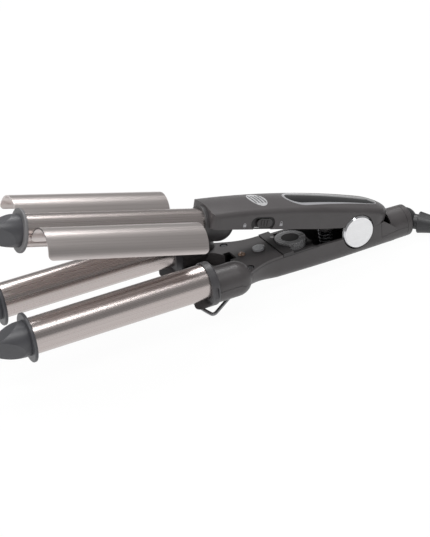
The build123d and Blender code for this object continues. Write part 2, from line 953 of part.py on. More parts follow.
hollow_nose_reach = math.sqrt((upper_reach(upper_round_x) - shell_wall) ** 2 - upper_hollow_nose**2)
hollow_stations = [(x, upper_reach(x) - shell_wall, crown_height(x) - shell_wall) for x in upper_stations]
hollow_stations.append(
    (
        upper_round_x + upper_hollow_nose,
        hollow_nose_reach,
        crown_height(upper_round_x + upper_hollow_nose) + crown_drop(upper_hollow_nose) - shell_wall,
    )
)

with BuildPart() as upper_inner:
    for x, reach, top in hollow_stations:
        with BuildSketch(Plane.YZ.offset(x)):
            Polygon(
                (-reach, hollow_floor),
                (-reach, top + crown_drop(reach)),
                (-reach / 2, top + crown_drop(reach / 2)),
                (0, top),
                (reach / 2, top + crown_drop(reach / 2)),
                (reach, top + crown_drop(reach)),
                (reach, hollow_floor),
                align=None,
            )
    loft(ruled=True)


def drop_outline(front, front_radius, back, back_radius, margin):
    """A long drop with a round front and a smaller round back, made larger by the margin."""
    with BuildSketch() as outline:
        with Locations((front + front_radius, 0)):
            Circle(front_radius + margin)
        with Locations((back - back_radius, 0)):
            Circle(back_radius + margin)
        make_hull()
    return outline.sketch


def inlay_outline(margin):
    """The outline of the gloss inlay, made larger by the margin."""
    return drop_outline(inlay_front, inlay_front_radius, inlay_back, inlay_back_radius, margin)


def trim_outline(margin):
    """The outer outline of the trim, made larger by the margin."""
    return drop_outline(
        inlay_front - trim_front,
        inlay_front_radius + trim_side,
        inlay_back + trim_back,
        inlay_back_radius + trim_back,
        margin,
    )


lock_window_x = lock_x - lock_travel / 2
lock_window_length = lock_length + lock_travel + 2 * running
lock_window_width = lock_width + 2 * running
side_wall = upper_half_width

with BuildPart() as upper_housing:
    add(upper_outer.part)
    with BuildSketch(Plane.XZ):
        Polygon(*lower_edge, (clear, clear), (-clear, clear), align=None)
    extrude(amount=clear, both=True, mode=Mode.INTERSECT)
    with BuildPart(mode=Mode.PRIVATE) as upper_cavity:
        add(upper_inner.part)
        with BuildSketch(Plane.XZ):
            with Locations((upper_root + shell_wall, 0)):
                Rectangle(clear, 2 * clear, align=(Align.MIN, Align.CENTER))
        extrude(amount=clear, both=True, mode=Mode.INTERSECT)
    add(upper_cavity.part, mode=Mode.SUBTRACT)
    # Round upright corners at the front
    with BuildSketch() as front_corners:
        with Locations((upper_root, -upper_half_width), (upper_root, upper_half_width)):
            Rectangle(2 * upper_front_round, 2 * upper_front_round)
        with GridLocations(1, 2 * (upper_half_width - upper_front_round), 1, 2):
            with Locations((upper_root + upper_front_round, 0)):
                Circle(upper_front_round, mode=Mode.SUBTRACT)
    extrude(amount=clear, mode=Mode.SUBTRACT)
    # Barrel hole in the front wall
    with BuildSketch(Plane.YZ.offset(upper_root + shell_wall + seam)):
        with Locations((0, upper_rise)):
            Circle(upper_radius + fit)
    extrude(amount=-clear, mode=Mode.SUBTRACT)
    # Room for the hinge caps in the side walls
    for side in (-1, 1):
        with BuildSketch(Plane.XZ.offset(side * (cap_inner - fit))):
            Circle(cap_recess)
        extrude(amount=side * clear, mode=Mode.SUBTRACT)
    # Ears that turn on the hinge pin
    for side in (-1, 1):
        with BuildSketch(Plane.XZ.offset(side * upper_ear_inner)):
            Circle(upper_ear_radius)
            Rectangle(2 * upper_ear_radius, upper_ear_height, align=(Align.CENTER, Align.MIN))
            Circle(pin_radius + pin_running, mode=Mode.SUBTRACT)
        extrude(amount=side * (upper_ear_outer - upper_ear_inner))
    with BuildSketch(Plane.XZ):
        Circle(pin_radius + pin_running)
    extrude(amount=clear, both=True, mode=Mode.SUBTRACT)
    # Post that presses on the jaw spring
    with BuildSketch(Plane.XY.offset(spring_pad_height)):
        with Locations((spring_x, 0)):
            Circle(spring_pad_radius)
    extrude(amount=spring_pad_top - spring_pad_height)
    with BuildSketch(Plane.XY.offset(spring_pad_height)):
        with Locations((spring_x, 0)):
            Circle(spring_spigot_radius)
    extrude(amount=-spring_spigot_length)
    # Window and outer recess of the lock slider
    with BuildSketch(Plane.XZ.offset(side_wall - 2 * shell_wall)):
        with Locations((lock_window_x, lock_rise)):
            SlotOverall(lock_window_length, lock_window_width)
    extrude(amount=3 * shell_wall, mode=Mode.SUBTRACT)
    with BuildSketch(Plane.XZ.offset(side_wall - lock_recess_depth)):
        with Locations((lock_window_x, lock_rise)):
            SlotOverall(
                lock_window_length + 2 * lock_recess_margin,
                lock_window_width + 2 * lock_recess_margin,
            )
    extrude(amount=clear, mode=Mode.SUBTRACT)
    # Vent opening
    with BuildSketch(Plane.XY.offset(vent_base)):
        with Locations((vent_x, 0)):
            Ellipse(vent_width / 2, vent_length / 2)
    extrude(amount=clear, mode=Mode.SUBTRACT)
    # Shallow bed of the inlay and its trim
    with BuildPart(mode=Mode.PRIVATE) as bed:
        add(trim_outline(0))
        extrude(amount=clear)
        add(upper_recessed.part, mode=Mode.SUBTRACT)
    add(bed.part, mode=Mode.SUBTRACT)
write(upper_housing, "upper_housing", upper_place)


def crown_plate(outline):
    """A plate that follows the crown, as thick as the bed is deep."""
    with BuildPart() as plate:
        add(upper_outer.part)
        with BuildPart(mode=Mode.INTERSECT):
            add(outline)
            extrude(amount=clear)
        add(upper_bed.part, mode=Mode.SUBTRACT)
    return plate


write(crown_plate(inlay_outline(-fit)), "inlay", upper_place)

with BuildPart() as inlay_trim:
    add(crown_plate(trim_outline(-fit)).part)
    with BuildPart(mode=Mode.SUBTRACT):
        add(inlay_outline(0))
        extrude(amount=clear)
write(inlay_trim, "inlay_trim", upper_place)

with BuildPart() as vent_grille:
    add(upper_outer.part)
    with BuildSketch(Plane.XY.offset(vent_base)):
        with Locations((vent_x, 0)):
            Ellipse(vent_width / 2 - fit, vent_length / 2 - fit)
    extrude(amount=clear, mode=Mode.INTERSECT)
    with BuildSketch(Plane.XY):
        with Locations((vent_x, 0)):
            with GridLocations(vent_pitch, 1, vent_slots, 1):
                SlotOverall(vent_slot_length, vent_slot_width, rotation=90)
    extrude(amount=clear, mode=Mode.SUBTRACT)
write(vent_grille, "vent_grille", upper_place)

with BuildPart() as upper_cover:
    with BuildSketch(Plane.XY.offset(upper_rise)):
        with BuildLine():
            Polyline(
                (upper_nose_start + upper_nose_radius, 0),
                (upper_root, 0),
                (upper_root, upper_nose_radius),
                (upper_nose_start, upper_nose_radius),
            )
            CenterArc((upper_nose_start, 0), upper_nose_radius, 0, 90)
        make_face()
    revolve(axis=Axis((0, 0, upper_rise), (1, 0, 0)))
    with BuildSketch(Plane.XZ):
        Polygon(
            (-clear, -clear),
            (-clear, edge_front - seam),
            (upper_root + shell_wall + seam, edge_front - seam),
            (upper_root + shell_wall + seam, edge_front + seam),
            (0, edge_front + seam),
            (0, -clear),
            align=None,
        )
    extrude(amount=clear, both=True, mode=Mode.INTERSECT)
    with BuildSketch(Plane.XZ):
        Polygon(
            (upper_root + shell_wall + seam, edge_front),
            (edge_front_bend, edge_front),
            (edge_bend, edge_back),
            (upper_cover_end, edge_back),
            (upper_cover_end, edge_back + upper_cover_thickness),
            (edge_bend, edge_back + upper_cover_thickness),
            (edge_front_bend, edge_front + upper_cover_thickness),
            (upper_root + shell_wall + seam, edge_front + upper_cover_thickness),
            align=None,
        )
    extrude(amount=side_wall - shell_wall - 2 * fit, both=True)
    with BuildSketch(Plane.YZ.offset(upper_barrel_end + fit)):
        with Locations((0, upper_rise)):
            Circle(upper_radius + fit)
    extrude(amount=-clear, mode=Mode.SUBTRACT)
    # Clearance for the flange of the lock slider
    with BuildSketch(Plane.XY):
        with Locations((lock_window_x, -side_wall)):
            Rectangle(
                lock_flange_length + lock_travel + 2 * running,
                2 * (shell_wall + lock_flange_thickness + 2 * running),
            )
    extrude(amount=clear, mode=Mode.SUBTRACT)
write(upper_cover, "upper_cover", upper_place)

with BuildPart() as lock_slider:
    with BuildSketch(Plane.XZ.offset(side_wall - shell_wall - running - lock_flange_thickness)):
        with Locations((lock_x, lock_rise)):
            SlotOverall(lock_flange_length, lock_width)
    extrude(amount=lock_flange_thickness)
    with BuildSketch(Plane.XZ.offset(side_wall - shell_wall - running)):
        with Locations((lock_x, lock_rise)):
            SlotOverall(lock_length, lock_width)
    extrude(amount=shell_wall + running - lock_sink)
    with BuildSketch(Plane.XZ.offset(side_wall - lock_sink)):
        with Locations((lock_x, lock_rise)):
            with GridLocations(lock_rib_pitch, 1, lock_ribs, 1):
                Rectangle(lock_rib_pitch / 2, lock_width - 2 * lock_rib_inset)
    extrude(amount=lock_rib_height)
write(lock_slider, "lock_slider", upper_place)

# ---------------------------------------------------------------- hinge and jaw spring

with BuildPart() as hinge_pin:
    with BuildSketch(Plane.XZ):
        Circle(pin_radius)
    extrude(amount=pin_half_length, both=True)
write(hinge_pin, "hinge_pin", lower_place)

for side, side_name in ((-1, "right"), (1, "left")):
    with BuildPart() as hinge_cap:
        with BuildSketch(Plane.XZ.offset(side * cap_inner)):
            Circle(cap_radius)
        extrude(amount=side * (cap_outer - cap_inner))
        outer_rim = hinge_cap.edges().sort_by(Axis.Y)[0 if side > 0 else -1]
        chamfer(outer_rim, cap_chamfer)
        with BuildSketch(Plane.XZ.offset(side * cap_inner)):
            Circle(pin_radius)
        extrude(amount=side * (pin_half_length - cap_inner), mode=Mode.SUBTRACT)
    write(hinge_cap, f"{side_name}_hinge_cap", lower_place)

# The raised end of the spring meets the low side of the slanting pad.
pad_angle = math.radians(jaw_angle)
pad_x = spring_x * math.cos(pad_angle) + spring_pad_height * math.sin(pad_angle)
pad_rise = -spring_x * math.sin(pad_angle) + spring_pad_height * math.cos(pad_angle)
spring_top = pad_rise - (spring_radius + spring_wire / 2) * math.sin(pad_angle) - fit
spring_height = spring_top - spring_seat - spring_wire

with BuildPart() as jaw_spring:
    with BuildLine(Plane.XY.offset(spring_seat + spring_wire / 2)) as spring_path:
        Helix(spring_height / spring_turns, spring_height, spring_radius)
    with BuildSketch(Plane(origin=spring_path.wire() @ 0, z_dir=spring_path.wire() % 0)):
        Circle(spring_wire / 2)
    sweep(is_frenet=True)
write(jaw_spring, "jaw_spring", lower_place * Location((spring_x, 0, 0)))

# ---------------------------------------------------------------- dial, button, lamp and electronics

with BuildPart() as temperature_dial:
    with BuildSketch(Plane.XY.offset(dial_top)):
        with Locations((dial_x, 0)):
            Circle(dial_radius)
            with PolarLocations(dial_radius, dial_ribs):
                Circle(dial_rib_depth, mode=Mode.SUBTRACT)
    extrude(amount=-dial_thickness)
    with BuildSketch(Plane.XY.offset(dial_top)):
        with Locations((dial_x, 0)):
            Circle(dial_face_radius)
    extrude(amount=-dial_face_depth, mode=Mode.SUBTRACT)
    with BuildSketch(Plane.XY.offset(dial_top - dial_thickness)):
        with Locations((dial_x, 0)):
            Circle(dial_shaft_radius)
    extrude(amount=-dial_shaft_length)
write(temperature_dial, "temperature_dial", lower_place)

with BuildPart() as dial_face:
    with BuildSketch(Plane.XY.offset(dial_top - dial_face_depth)):
        with Locations((dial_x, 0)):
            Circle(dial_face_radius - fit)
    extrude(amount=dial_face_depth - fit)
write(dial_face, "dial_face", lower_place)

with BuildPart() as dial_control:
    with BuildSketch(Plane.XY.offset(board_top)):
        with Locations((dial_x, 0)):
            Circle(dial_control_radius)
    extrude(amount=dial_floor - slab_thickness - fit - board_top)
    with BuildSketch(Plane.XY.offset(board_top + fit)):
        with Locations((dial_x, 0)):
            Circle(dial_shaft_radius + pin_running)
    extrude(amount=clear, mode=Mode.SUBTRACT)
write(dial_control, "dial_control", lower_place)

button_flange_top = parting_height - running
switch_top = button_flange_top - button_flange_thickness - button_travel - pin_running

with BuildPart() as ion_button:
    with BuildSketch(Plane.XY.offset(button_flange_top - button_flange_thickness)):
        with Locations((button_x, 0)):
            Ellipse(button_length / 2 + button_flange, button_width / 2 + button_flange)
    extrude(amount=button_flange_thickness)
    with BuildSketch(Plane.XY.offset(button_flange_top)):
        with Locations((button_x, 0)):
            Ellipse(button_length / 2, button_width / 2)
    extrude(amount=deck_height + button_height - button_flange_top)
    fillet(ion_button.edges().group_by(Axis.Z)[-1], button_round)
write(ion_button, "ion_button", lower_place)

with BuildPart() as lamp_lens:
    with BuildSketch(Plane.XY.offset(parting_height)):
        with Locations((lamp_x, 0)):
            Circle(lamp_radius)
    extrude(amount=deck_height + lamp_rise - parting_height)
    fillet(lamp_lens.edges().group_by(Axis.Z)[-1], lamp_round)
write(lamp_lens, "lamp_lens", lower_place)

with BuildPart() as circuit_board:
    with BuildSketch(Plane.XY.offset(board_top)):
        with Locations(((board_front + board_back) / 2, 0)):
            Rectangle(board_back - board_front, 2 * board_half_width)
    extrude(amount=-board_thickness)
    # Push switch under the button and the lamp under its lens
    with BuildSketch(Plane.XY.offset(board_top)):
        with Locations((button_x, 0)):
            Rectangle(switch_size, switch_size)
    extrude(amount=switch_top - board_top)
    with BuildSketch(Plane.XY.offset(board_top)):
        with Locations((lamp_x, 0)):
            Circle(lamp_radius - board_lamp_gap)
    extrude(amount=parting_height - fit - board_top)
write(circuit_board, "circuit_board", lower_place)

with BuildPart() as ion_generator:
    with BuildSketch(Plane.XY.offset(board_top - board_thickness)):
        with Locations((ion_module_x, 0)):
            Rectangle(ion_module_length, ion_module_width)
    extrude(amount=-ion_module_height)
write(ion_generator, "ion_generator", lower_place)

with BuildPart() as cover_screws:
    with BuildSketch(Plane.XY.offset(deck_height - screw_recess_depth)):
        with Locations(*screw_places):
            Circle(screw_head_radius)
    extrude(amount=screw_head_height)
    with BuildSketch(Plane.XY.offset(deck_height - screw_recess_depth)):
        with Locations(*screw_places):
            Circle(screw_shank_radius)
    extrude(amount=-screw_length)
write(cover_screws, "cover_screws", lower_place)

# ---------------------------------------------------------------- folding stand

with BuildPart() as stand_bail:
    with BuildLine() as bail_path:
        FilletPolyline(
            (bail_pivot_x, -lug_inner + bail_end_inset, bail_pivot_rise),
            (bail_pivot_x, -bail_y, bail_pivot_rise),
            (bail_foot_x, -bail_y, bail_foot_rise),
            (bail_foot_x - bail_bow, 0, bail_foot_rise),
            (bail_foot_x, bail_y, bail_foot_rise),
            (bail_pivot_x, bail_y, bail_pivot_rise),
            (bail_pivot_x, lug_inner - bail_end_inset, bail_pivot_rise),
            radius=[bail_eye_bend, bail_bend, bail_bow_radius, bail_bend, bail_eye_bend],
        )
    with BuildSketch(Plane(origin=bail_path.wire() @ 0, z_dir=bail_path.wire() % 0)):
        Circle(bail_wire)
    sweep()
write(stand_bail, "stand_bail", lower_place)

# ---------------------------------------------------------------- cord, swivel and plug

swivel_centre = Vector(*(lower_place * Location((ball_x, 0, tail_drop))).position)
cord_height = cord_radius + table_gap
relief_rise = relief_end_radius + table_gap
cord_fall = math.asin((swivel_centre.Z - relief_rise) / relief_end)
swing = math.radians(cord_swing)
cord_direction = Vector(
    math.cos(cord_fall) * math.cos(swing),
    -math.cos(cord_fall) * math.sin(swing),
    -math.sin(cord_fall),
)
swivel_place = Plane(origin=swivel_centre, z_dir=cord_direction).location

with BuildPart() as swivel_ball:
    Sphere(ball_radius)
    with BuildSketch(Plane.XY):
        Circle(relief_neck_radius)
    extrude(amount=relief_start)
write(swivel_ball, "swivel_ball", swivel_place)

with BuildPart() as strain_relief:
    with BuildSketch(Plane.XZ):
        with BuildLine():
            Polyline((0, relief_end), (0, relief_start), (relief_start_radius, relief_start))
            Spline(
                (relief_start_radius, relief_start),
                (relief_middle_radius, relief_middle),
                (relief_end_radius, relief_end),
            )
            Line((relief_end_radius, relief_end), (0, relief_end))
        make_face()
    revolve(axis=Axis.Z)
    fillet(strain_relief.edges().group_by(Axis.Z)[0], relief_rim_round)
    fall = (relief_middle_radius - relief_end_radius) / (relief_end - relief_middle)
    for groove in range(relief_grooves):
        start = relief_groove_start + groove * relief_groove_pitch
        with BuildSketch(Plane.XY.offset(start)):
            Circle(relief_start_radius)
            Circle(
                relief_middle_radius - fall * (start - relief_middle) - relief_groove_depth,
                mode=Mode.SUBTRACT,
            )
        extrude(amount=relief_groove_width, mode=Mode.SUBTRACT)
write(strain_relief, "strain_relief", swivel_place)


def corner_radii(points):
    """The largest arcs that the runs beside each corner leave room for."""
    radii = []
    for before, corner, after in zip(points, points[1:], points[2:]):
        arriving = Vector(*corner) - Vector(*before)
        leaving = Vector(*after) - Vector(*corner)
        half_turn = math.radians(arriving.get_angle(leaving) / 2)
        radii.append(0.45 * min(arriving.length, leaving.length) / math.tan(half_turn))
    return radii


def cord_tube(name, points):
    """A stretch of cord along straight runs joined by tangent arcs."""
    radii = corner_radii(points)
    with BuildPart() as tube:
        with BuildLine() as path:
            FilletPolyline(*points, radius=radii)
        with BuildSketch(Plane(origin=path.wire() @ 0, z_dir=path.wire() % 0)):
            Circle(cord_radius)
        sweep()
    print(name, "length", round(path.wire().length, 1), "radii", [round(radius, 1) for radius in radii])
    write(tube, name, Location())


relief_tip = swivel_centre + cord_direction * relief_end
coil_width = coil_turns_wide * 2 * cord_radius
coil_height = coil_turns_high * 2 * cord_radius
coil_outer_turn = coil_middle_radius + coil_width / 2 - cord_radius

cord_points = [
    tuple(relief_tip),
    tuple(relief_tip + cord_direction * ((relief_rise - cord_height) / math.sin(cord_fall))),
    *[(x, y, cord_height) for x, y in cord_floor_points],
    (
        coil_x + coil_outer_turn * math.cos(math.radians(coil_entry)),
        coil_y + coil_outer_turn * math.sin(math.radians(coil_entry)),
        cord_height,
    ),
]
cord_tube("cord", cord_points)

with BuildPart() as cord_coil:
    with BuildSketch(Plane.XY.offset(table_gap)):
        with Locations((coil_x, coil_y)):
            Circle(coil_middle_radius + coil_width / 2)
            Circle(coil_middle_radius - coil_width / 2, mode=Mode.SUBTRACT)
    extrude(amount=coil_height)
write(cord_coil, "cord_coil", Location())

coil_top = table_gap + coil_height
plug_rise = coil_top + plug_gap + plug_height / 2
plug_points = [
    (
        coil_x + coil_outer_turn * math.cos(math.radians(coil_leave)),
        coil_y + coil_outer_turn * math.sin(math.radians(coil_leave)),
        coil_top - cord_radius,
    ),
    *plug_climb_points,
    *[(x, y, plug_rise) for x, y in plug_level_points],
]
cord_tube("plug_cord", plug_points)
plug_start = Vector(*plug_points[-1])
plug_heading = (plug_start - Vector(*plug_points[-2])).normalized()
plug_place = Plane(origin=plug_start, x_dir=Vector(0, 0, 1).cross(plug_heading), z_dir=plug_heading).location

with BuildPart() as plug_body:
    with BuildSketch(Plane.XY):
        RectangleRounded(2 * plug_neck_radius, 2 * plug_neck_radius, plug_neck_corner)
    with BuildSketch(Plane.XY.offset(plug_shoulder)):
        RectangleRounded(plug_waist, plug_height, plug_corner)
    with BuildSketch(Plane.XY.offset(plug_length)):
        RectangleRounded(plug_width, plug_height, plug_corner)
    loft()
write(plug_body, "plug_body", plug_place)

with BuildPart() as plug_pins:
    with BuildSketch(Plane.XY.offset(plug_length)):
        with GridLocations(plug_pin_spacing, 1, 2, 1):
            Circle(plug_pin_radius)
    extrude(amount=plug_pin_length)
    fillet(plug_pins.edges().group_by(Axis.Z)[-1], plug_pin_radius / 2)
write(plug_pins, "plug_pins", plug_place)
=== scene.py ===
import json
import math

import bmesh
import bpy
from mathutils import Matrix, Vector


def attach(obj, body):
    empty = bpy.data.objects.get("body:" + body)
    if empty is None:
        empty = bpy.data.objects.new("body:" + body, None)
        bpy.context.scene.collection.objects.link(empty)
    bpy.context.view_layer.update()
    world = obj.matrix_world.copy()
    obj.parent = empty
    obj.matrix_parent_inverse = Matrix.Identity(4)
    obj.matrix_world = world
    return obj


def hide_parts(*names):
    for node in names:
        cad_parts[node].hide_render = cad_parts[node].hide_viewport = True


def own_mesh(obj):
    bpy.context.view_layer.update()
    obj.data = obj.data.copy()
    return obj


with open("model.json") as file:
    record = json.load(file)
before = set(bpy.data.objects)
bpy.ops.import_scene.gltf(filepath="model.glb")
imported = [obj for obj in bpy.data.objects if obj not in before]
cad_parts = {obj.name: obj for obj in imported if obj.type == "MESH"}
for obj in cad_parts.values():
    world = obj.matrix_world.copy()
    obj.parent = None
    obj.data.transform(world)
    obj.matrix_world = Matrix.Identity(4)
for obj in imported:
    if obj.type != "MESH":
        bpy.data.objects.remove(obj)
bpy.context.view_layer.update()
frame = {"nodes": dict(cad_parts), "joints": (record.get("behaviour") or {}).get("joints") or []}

MM = 0.001
X, Y, Z = Vector((1, 0, 0)), Vector((0, 1, 0)), Vector((0, 0, 1))
scene = bpy.context.scene


def added(name, data):
    """A new object of the scene that holds the data."""
    piece = bpy.data.objects.new(name, data)
    scene.collection.objects.link(piece)
    return piece


# ---------------------------------------------------------------- where the jaws are

joints = {joint["name"]: joint for joint in frame["joints"]}
hinge = Vector(joints["jaw_hinge"]["pos_m"])
up_axis = joints["dial_turn"]["axis"]
lock_axis = joints["lock_slide"]["axis"]
tilt = math.atan2(up_axis[0], up_axis[2])
raised = math.atan2(-lock_axis[2], lock_axis[0])
LOWER = Matrix.Translation(hinge) @ Matrix.Rotation(tilt, 4, "Y")
UPPER = Matrix.Translation(hinge) @ Matrix.Rotation(raised, 4, "Y")

# ---------------------------------------------------------------- camera

camera = added("camera", bpy.data.cameras.new("camera"))
scene.camera = camera
camera.data.lens = 101.16
camera.data.sensor_width = 36.0
camera.data.clip_start = 0.05
eye = Vector((-0.3219, -0.7726, 0.4621))
forward = Vector((0.3486, 0.8135, -0.4655)).normalized()
upward = Vector((0.2922, 0.3776, 0.8786))
rightward = forward.cross(upward).normalized()
upward = rightward.cross(forward).normalized()
camera.matrix_world = Matrix(
    (
        (rightward.x, upward.x, -forward.x, eye.x),
        (rightward.y, upward.y, -forward.y, eye.y),
        (rightward.z, upward.z, -forward.z, eye.z),
        (0, 0, 0, 1),
    )
)

# ---------------------------------------------------------------- materials

# Noise scales are per metre of the object.
NOISE_LOW, NOISE_HIGH = 0.3, 0.7
TONE_SCALE = 60
GRAIN_SCALE = 2600
GRAIN_DEPTH = 0.0002
BRUSH_SCALE = 1600
BRUSH_LENGTH = 200.0
SHARP_ANGLE = 28


def principled(name, color, roughness, metallic=0.0, **sockets):
    """A material whose Principled shader has its own plain values."""
    material = bpy.data.materials.new(name)
    material.use_nodes = True
    shader = material.node_tree.nodes["Principled BSDF"]
    shader.inputs["Base Color"].default_value = (*color, 1)
    shader.inputs["Roughness"].default_value = roughness
    shader.inputs["Metallic"].default_value = metallic
    for socket, value in sockets.items():
        shader.inputs[socket.replace("_", " ")].default_value = value
    return material


def noise(material, scale, length=1.0, turn=0.0, detail=4.0, rough=0.6):
    """A noise texture in object space, drawn out along X after a turn about Y."""
    nodes = material.node_tree.nodes
    links = material.node_tree.links
    place = nodes.new("ShaderNodeTexCoord")
    mapping = nodes.new("ShaderNodeMapping")
    mapping.vector_type = "TEXTURE"
    mapping.inputs["Rotation"].default_value = (0, turn, 0)
    mapping.inputs["Scale"].default_value = (length, 1, 1)
    texture = nodes.new("ShaderNodeTexNoise")
    texture.inputs["Scale"].default_value = scale
    texture.inputs["Detail"].default_value = detail
    texture.inputs["Roughness"].default_value = rough
    links.new(place.outputs["Object"], mapping.inputs["Vector"])
    links.new(mapping.outputs["Vector"], texture.inputs["Vector"])
    return texture


def vary(material, texture, socket, low, high):
    """Drive a number of the shader between two values by a texture."""
    nodes = material.node_tree.nodes
    links = material.node_tree.links
    spread = nodes.new("ShaderNodeMapRange")
    spread.inputs["From Min"].default_value = NOISE_LOW
    spread.inputs["From Max"].default_value = NOISE_HIGH
    spread.inputs["To Min"].default_value = low
    spread.inputs["To Max"].default_value = high
    links.new(texture.outputs["Fac"], spread.inputs["Value"])
    links.new(spread.outputs["Result"], nodes["Principled BSDF"].inputs[socket])


def tint(material, texture, dark, light):
    """Vary the base colour between two tones by a texture."""
    nodes = material.node_tree.nodes
    links = material.node_tree.links
    ramp = nodes.new("ShaderNodeValToRGB")
    for element, position, tone in zip(ramp.color_ramp.elements, (NOISE_LOW, NOISE_HIGH), (dark, light)):
        element.position = position
        element.color = (*tone, 1)
    links.new(texture.outputs["Fac"], ramp.inputs["Fac"])
    links.new(ramp.outputs["Color"], nodes["Principled BSDF"].inputs["Base Color"])


def grain(material, texture, strength):
    """Raise the surface by a texture."""
    nodes = material.node_tree.nodes
    links = material.node_tree.links
    bump = nodes.new("ShaderNodeBump")
    bump.inputs["Strength"].default_value = strength
    bump.inputs["Distance"].default_value = GRAIN_DEPTH
    links.new(texture.outputs["Fac"], bump.inputs["Height"])
    links.new(bump.outputs["Normal"], nodes["Principled BSDF"].inputs["Normal"])


def plastic(name, dark, light, roughness, bump=0.12, scale=GRAIN_SCALE):
    """Moulded plastic with a fine grain and slow changes of tone."""
    material = principled(name, light, roughness)
    tint(material, noise(material, TONE_SCALE, detail=3), dark, light)
    fine = noise(material, scale, detail=2)
    vary(material, fine, "Roughness", roughness - 0.05, roughness + 0.07)
    grain(material, fine, bump)
    return material


def brushed(name, dark, light, roughness, turn, metallic=1.0):
    """Metal with long fine brush lines along one direction."""
    material = principled(name, light, roughness, metallic=metallic)
    lines = noise(material, BRUSH_SCALE, length=BRUSH_LENGTH, turn=turn, detail=2, rough=0.4)
    tint(material, lines, dark, light)
    vary(material, lines, "Roughness", roughness - 0.02, roughness + 0.03)
    return material


def smooth(name, color, roughness, scale, low, high, **sockets):
    """An even surface whose gloss changes a little over it."""
    material = principled(name, color, roughness, **sockets)
    vary(material, noise(material, scale), "Roughness", low, high)
    return material


TITANIUM = (0.47, 0.42, 0.405), (0.51, 0.46, 0.445)
WING_TITANIUM = (0.58, 0.53, 0.515), (0.62, 0.57, 0.555)

titanium = brushed("titanium", *TITANIUM, 0.27, tilt)
raised_titanium = brushed("raised_titanium", *TITANIUM, 0.27, raised)
wing_titanium = brushed("wing_titanium", *WING_TITANIUM, 0.30, raised)
charcoal = plastic("charcoal", (0.052, 0.047, 0.048), (0.062, 0.057, 0.058), 0.40)
charcoal_dark = plastic("charcoal_dark", (0.030, 0.028, 0.029), (0.040, 0.037, 0.038), 0.46)
# Painted shade: near black for the floors of recesses, where shade falls; the plastic there is no
# darker.
recess_painted_shade = plastic("recess_painted_shade", (0.008, 0.008, 0.008), (0.012, 0.011, 0.011), 0.55)
tip_plastic = plastic("tip_plastic", (0.045, 0.045, 0.050), (0.062, 0.062, 0.068), 0.40, bump=0.2)
collar_plastic = plastic("collar_plastic", (0.050, 0.048, 0.052), (0.068, 0.066, 0.070), 0.42, bump=0.2)
pale_flange = plastic("pale_flange", (0.09, 0.088, 0.09), (0.16, 0.156, 0.16), 0.5, bump=0.4, scale=1400)
gloss_black = smooth("gloss_black", (0.004, 0.004, 0.005), 0.07, 300, 0.05, 0.10, Specular_IOR_Level=0.3)
trim_silver = brushed("trim_silver", (0.42, 0.42, 0.44), (0.52, 0.52, 0.54), 0.30, raised, metallic=0.6)
dial_silver = brushed("dial_silver", (0.52, 0.52, 0.53), (0.64, 0.64, 0.65), 0.28, tilt, metallic=0.5)
pale_silver = brushed("pale_silver", (0.78, 0.78, 0.79), (0.84, 0.84, 0.85), 0.34, tilt, metallic=0.4)
button_silver = smooth(
    "button_silver", (0.74, 0.75, 0.77), 0.25, 500, 0.26, 0.34, metallic=0.2, Coat_Weight=0.4
)
chrome = smooth("chrome", (0.62, 0.62, 0.64), 0.10, 400, 0.07, 0.14, metallic=1.0)
wire_steel = smooth("wire_steel", (0.20, 0.20, 0.21), 0.18, 400, 0.14, 0.24, metallic=1.0)
dark_face = plastic("dark_face", (0.020, 0.018, 0.018), (0.028, 0.026, 0.026), 0.35)
white_mark = smooth("white_mark", (0.72, 0.72, 0.72), 0.5, 800, 0.45, 0.6)
icon_grey = smooth("icon_grey", (0.30, 0.30, 0.31), 0.5, 800, 0.45, 0.6)
lens_amber = smooth(
    "lens_amber",
    (0.50, 0.33, 0.24),
    0.15,
    500,
    0.12,
    0.2,
    Transmission_Weight=0.35,
    IOR=1.49,
    Coat_Weight=0.5,
)
ceramic = plastic("ceramic", (0.62, 0.60, 0.56), (0.72, 0.70, 0.66), 0.6)
board_green = plastic("board_green", (0.02, 0.10, 0.05), (0.03, 0.14, 0.07), 0.35)
cable_rubber = plastic(
    "cable_rubber", (0.022, 0.022, 0.024), (0.034, 0.034, 0.036), 0.44, bump=0.15, scale=1800
)

FINISH = {
    "left_barrel": titanium,
    "right_barrel": titanium,
    "centre_barrel": raised_titanium,
    "left_wing": wing_titanium,
    "right_wing": wing_titanium,
    "left_heater": ceramic,
    "right_heater": ceramic,
    "centre_heater": ceramic,
    "left_flange": tip_plastic,
    "right_flange": tip_plastic,
    "centre_flange": pale_flange,
    "left_tip": tip_plastic,
    "right_tip": tip_plastic,
    "centre_tip": tip_plastic,
    "left_collar": collar_plastic,
    "right_collar": collar_plastic,
    "upper_collar": charcoal_dark,
    "front_cover": charcoal,
    "lower_shell": charcoal,
    "dial_platform": charcoal_dark,
    "tail_cover": charcoal,
    "tail_ring": charcoal,
    "upper_housing": charcoal,
    "upper_cover": charcoal_dark,
    "inlay": gloss_black,
    "inlay_trim": trim_silver,
    "vent_grille": dial_silver,
    "hinge_pin": wire_steel,
    "left_hinge_cap": pale_silver,
    "right_hinge_cap": pale_silver,
    "jaw_spring": wire_steel,
    "temperature_dial": dial_silver,
    "dial_face": dark_face,
    "dial_control": dark_face,
    "ion_button": button_silver,
    "lamp_lens": lens_amber,
    "circuit_board": board_green,
    "ion_generator": dark_face,
    "cover_screws": wire_steel,
    "lock_slider": charcoal_dark,
    "stand_bail": wire_steel,
    "swivel_ball": cable_rubber,
    "strain_relief": cable_rubber,
    "plug_body": cable_rubber,
    "plug_pins": chrome,
}

for name, node in frame["nodes"].items():
    if name in FINISH:
        node.data.materials.clear()
        node.data.materials.append(FINISH[name])
    for face in node.data.polygons:
        face.use_smooth = True
    node.data.set_sharp_from_angle(angle=math.radians(SHARP_ANGLE))
